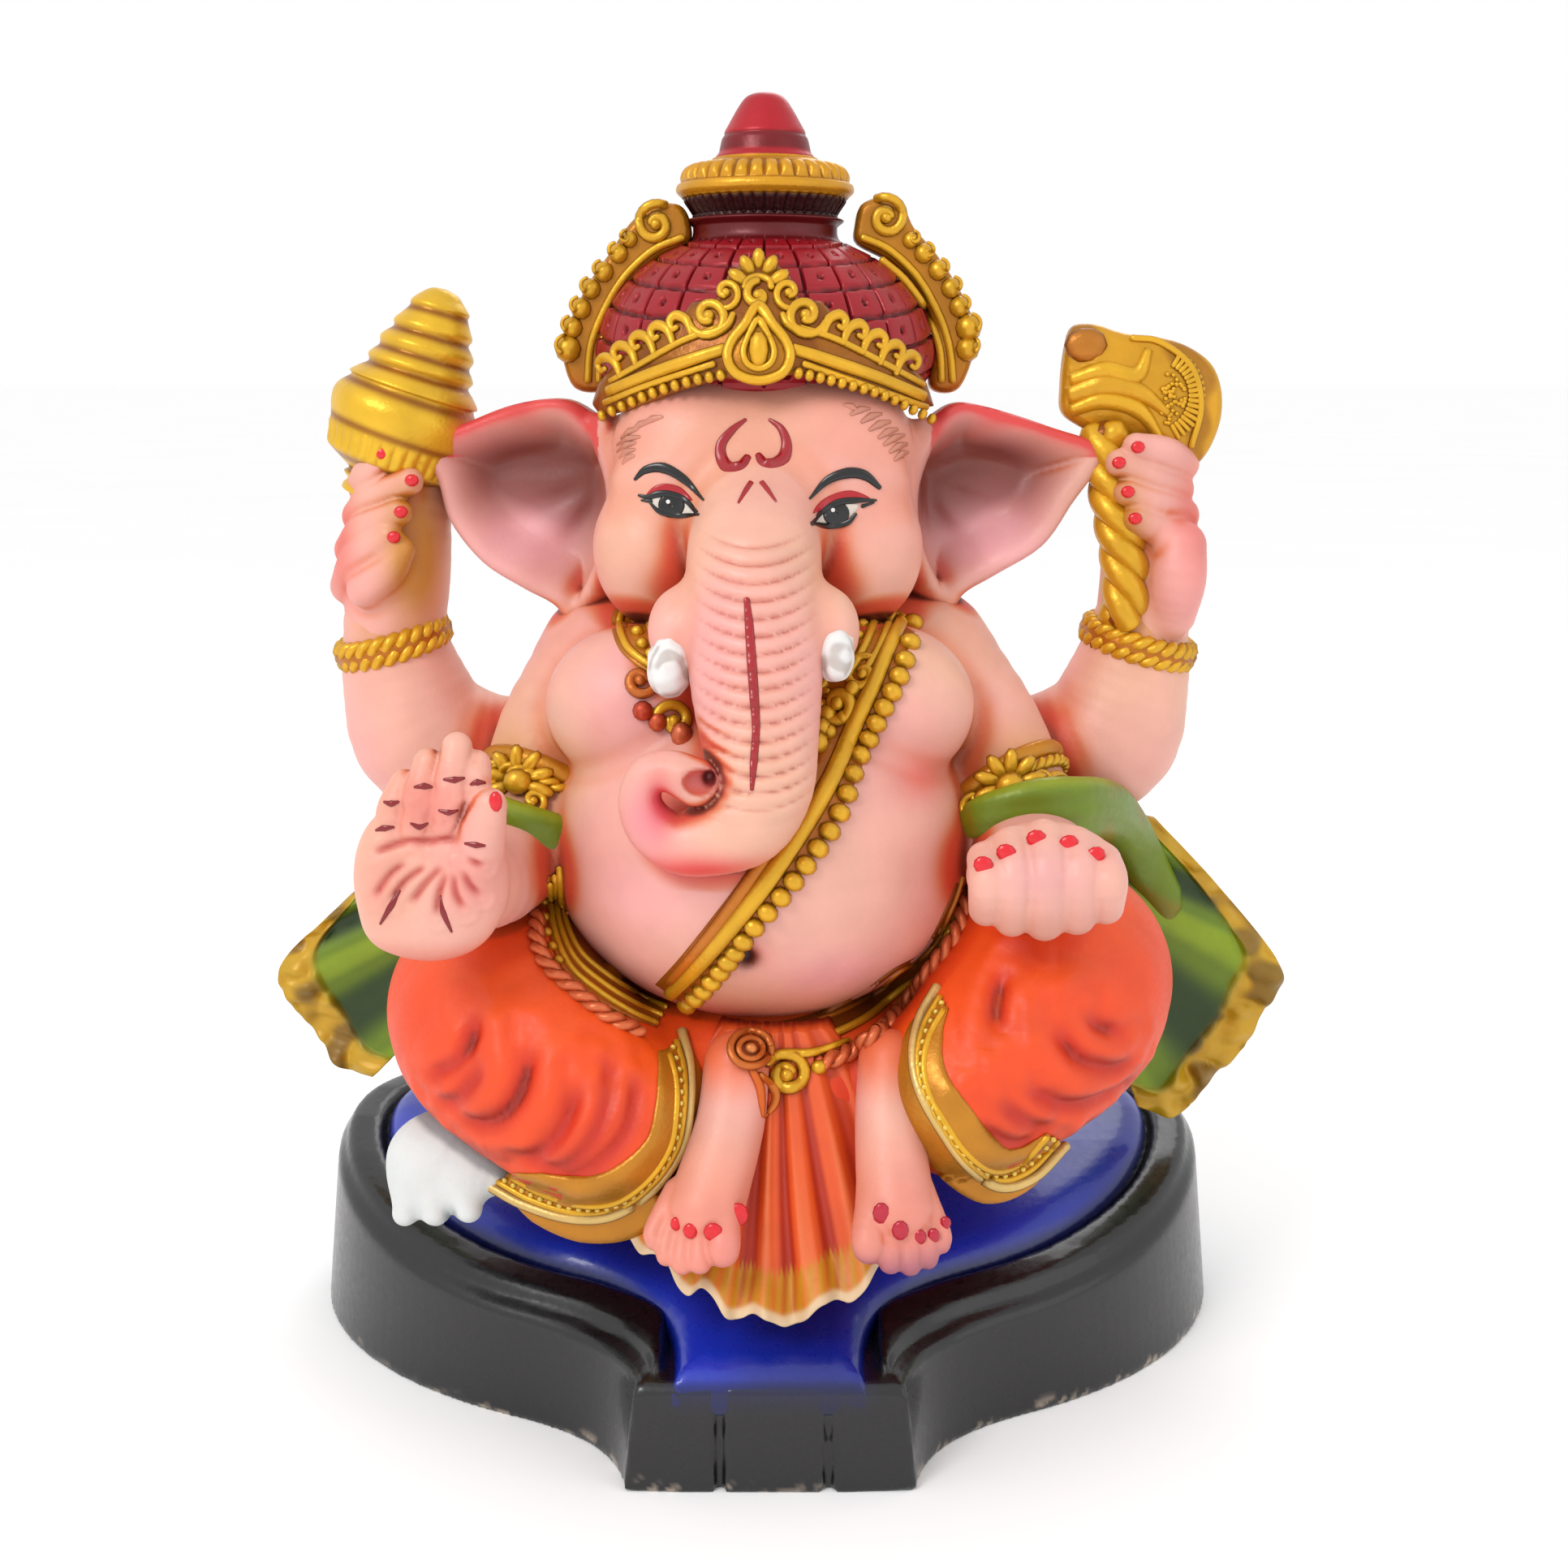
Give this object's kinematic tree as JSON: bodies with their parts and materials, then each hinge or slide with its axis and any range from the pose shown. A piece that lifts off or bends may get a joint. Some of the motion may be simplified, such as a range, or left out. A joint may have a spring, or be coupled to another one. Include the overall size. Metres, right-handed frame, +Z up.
{
  "type": "seated ganesha idol",
  "caption": "Painted plaster idol of a seated four-armed elephant-headed deity on an oval plinth, with a crown, ornaments, a shawl and a small mouse.",
  "frame": {"origin": "centre of the whole idol in plan, on the surface it stands on", "axes": "+Z up through the crown, -Y towards the front of the idol, +X to the viewer's right"},
  "size_m": [0.254, 0.17, 0.3],
  "materials": {
    "plinth_black": "satin",
    "seat_blue": "satin",
    "skin_pink": "satin",
    "feet_pink": "satin",
    "dhoti_orange": "satin",
    "ornament_gold": "metallic paint",
    "crown_crimson": "metallic paint",
    "tusk_white": "satin",
    "shawl_green": "satin",
    "mouse_white": "matte"
  },
  "bodies": {
    "root": {"axe_grip": "ornament_gold", "axe_head": "ornament_gold", "belt_chain": "ornament_gold", "belt_clasp": "ornament_gold", "blessing_hand": "skin_pink", "conch": "ornament_gold", "crown_collar": "ornament_gold", "crown_dome": "crown_crimson", "crown_finial": "crown_crimson", "crown_tiara": "ornament_gold", "dhoti_pleats": "dhoti_orange", "head": "skin_pink", "hips_wrap": "dhoti_orange", "left_ankle_border": "ornament_gold", "left_armlet": "ornament_gold", "left_bracelet": "ornament_gold", "left_crown_frame": "ornament_gold", "left_ear": "skin_pink", "left_foot": "feet_pink", "left_front_arm": "skin_pink", "left_leg": "dhoti_orange", "left_rear_arm": "skin_pink", "left_rear_hand": "skin_pink", "left_shawl": "shawl_green", "left_tusk": "tusk_white", "mouse": "mouse_white", "necklace": "ornament_gold", "offering_hand": "skin_pink", "plinth_shell": "plinth_black", "right_ankle_border": "ornament_gold", "right_armlet": "ornament_gold", "right_bracelet": "ornament_gold", "right_crown_frame": "ornament_gold", "right_ear": "skin_pink", "right_foot": "feet_pink", "right_front_arm": "skin_pink", "right_leg": "dhoti_orange", "right_rear_arm": "skin_pink", "right_rear_hand": "skin_pink", "right_shawl": "shawl_green", "right_tusk": "tusk_white", "sacred_thread": "ornament_gold", "seat_cushion": "seat_blue", "shawl_back": "shawl_green", "torso": "skin_pink", "trunk": "skin_pink", "waistband": "ornament_gold"}
  },
  "joints": []
}
